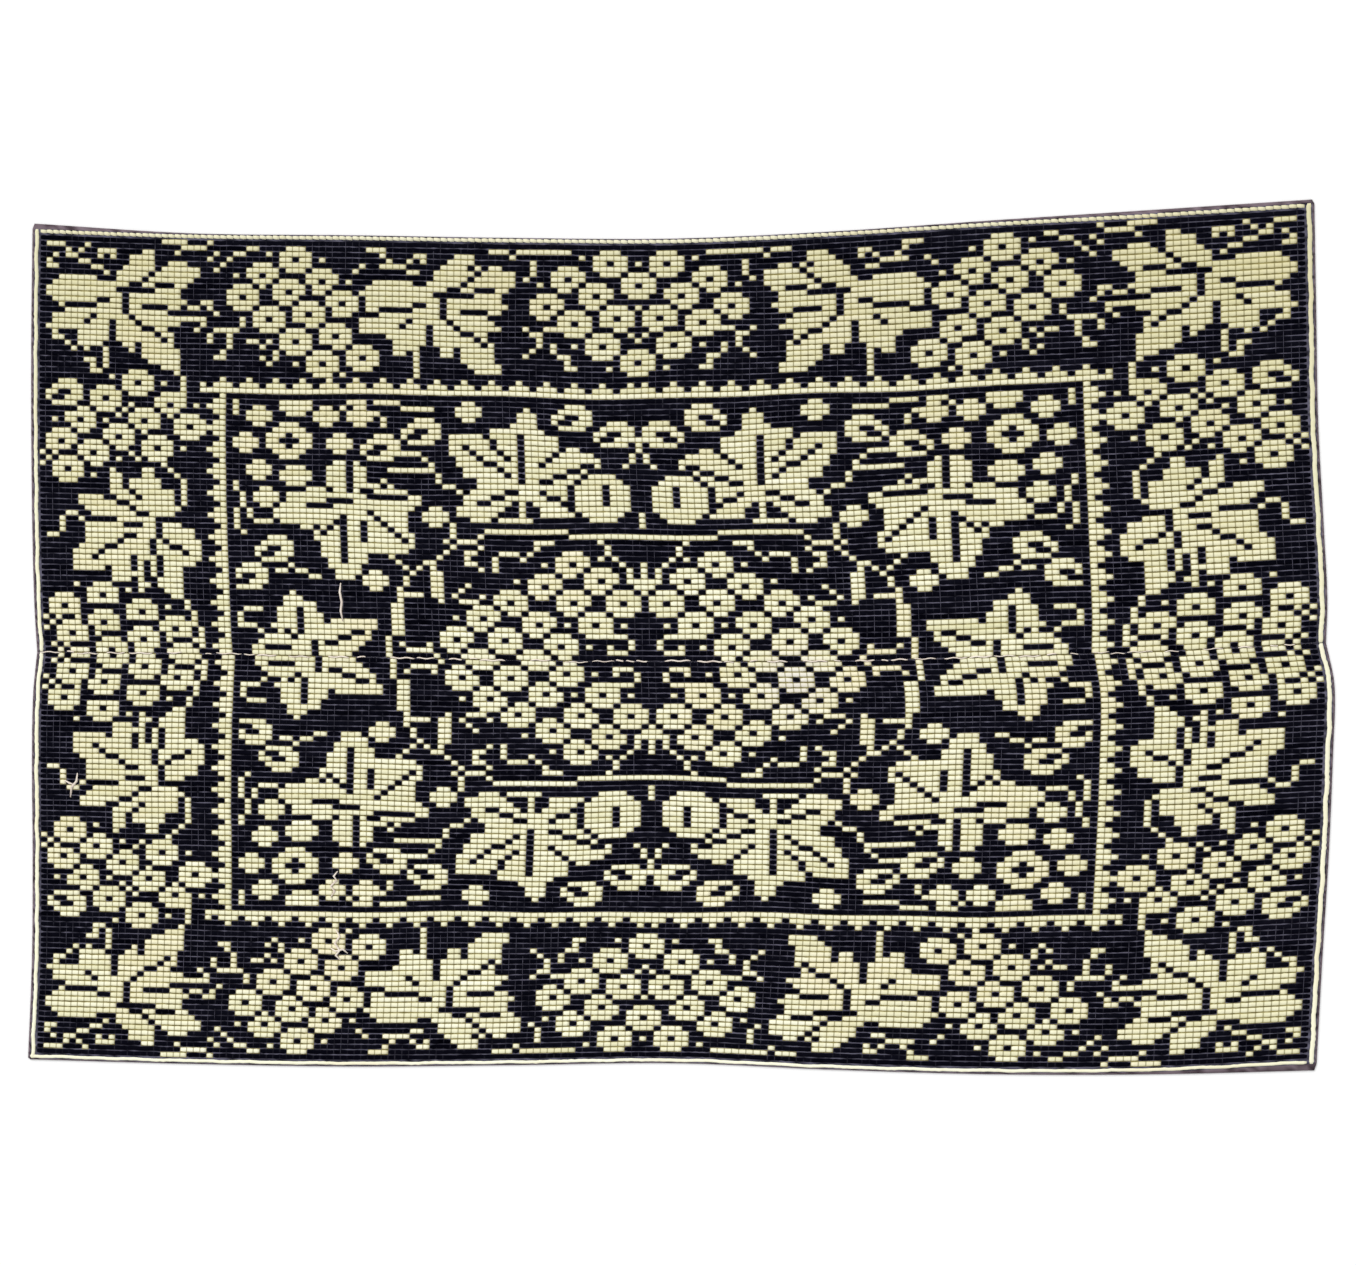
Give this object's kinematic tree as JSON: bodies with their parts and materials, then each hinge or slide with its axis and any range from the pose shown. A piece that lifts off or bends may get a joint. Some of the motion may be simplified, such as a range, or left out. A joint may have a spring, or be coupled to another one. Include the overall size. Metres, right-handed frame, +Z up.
{
  "type": "wool rug",
  "caption": "Flat double-woven wool rug in cream and navy, sewn from woven widths along a middle seam, with a leaf and grape pattern, to lie on a floor.",
  "frame": {"origin": "centre of the rug's bounding box on the floor that it lies on", "axes": "+X along the rug's length, towards the right end of the picture; +Y across it, towards the upper width; +Z up from the floor"},
  "size_m": [1.9988, 1.3388, 0.004],
  "materials": {
    "navy_wool": "matt navy wool yarn, ribbed double weave",
    "cream_wool": "matt undyed cream wool yarn, ribbed double weave"
  },
  "bodies": {
    "root": {"panel_upper": "navy_wool", "panel_lower": "navy_wool"}
  },
  "joints": []
}
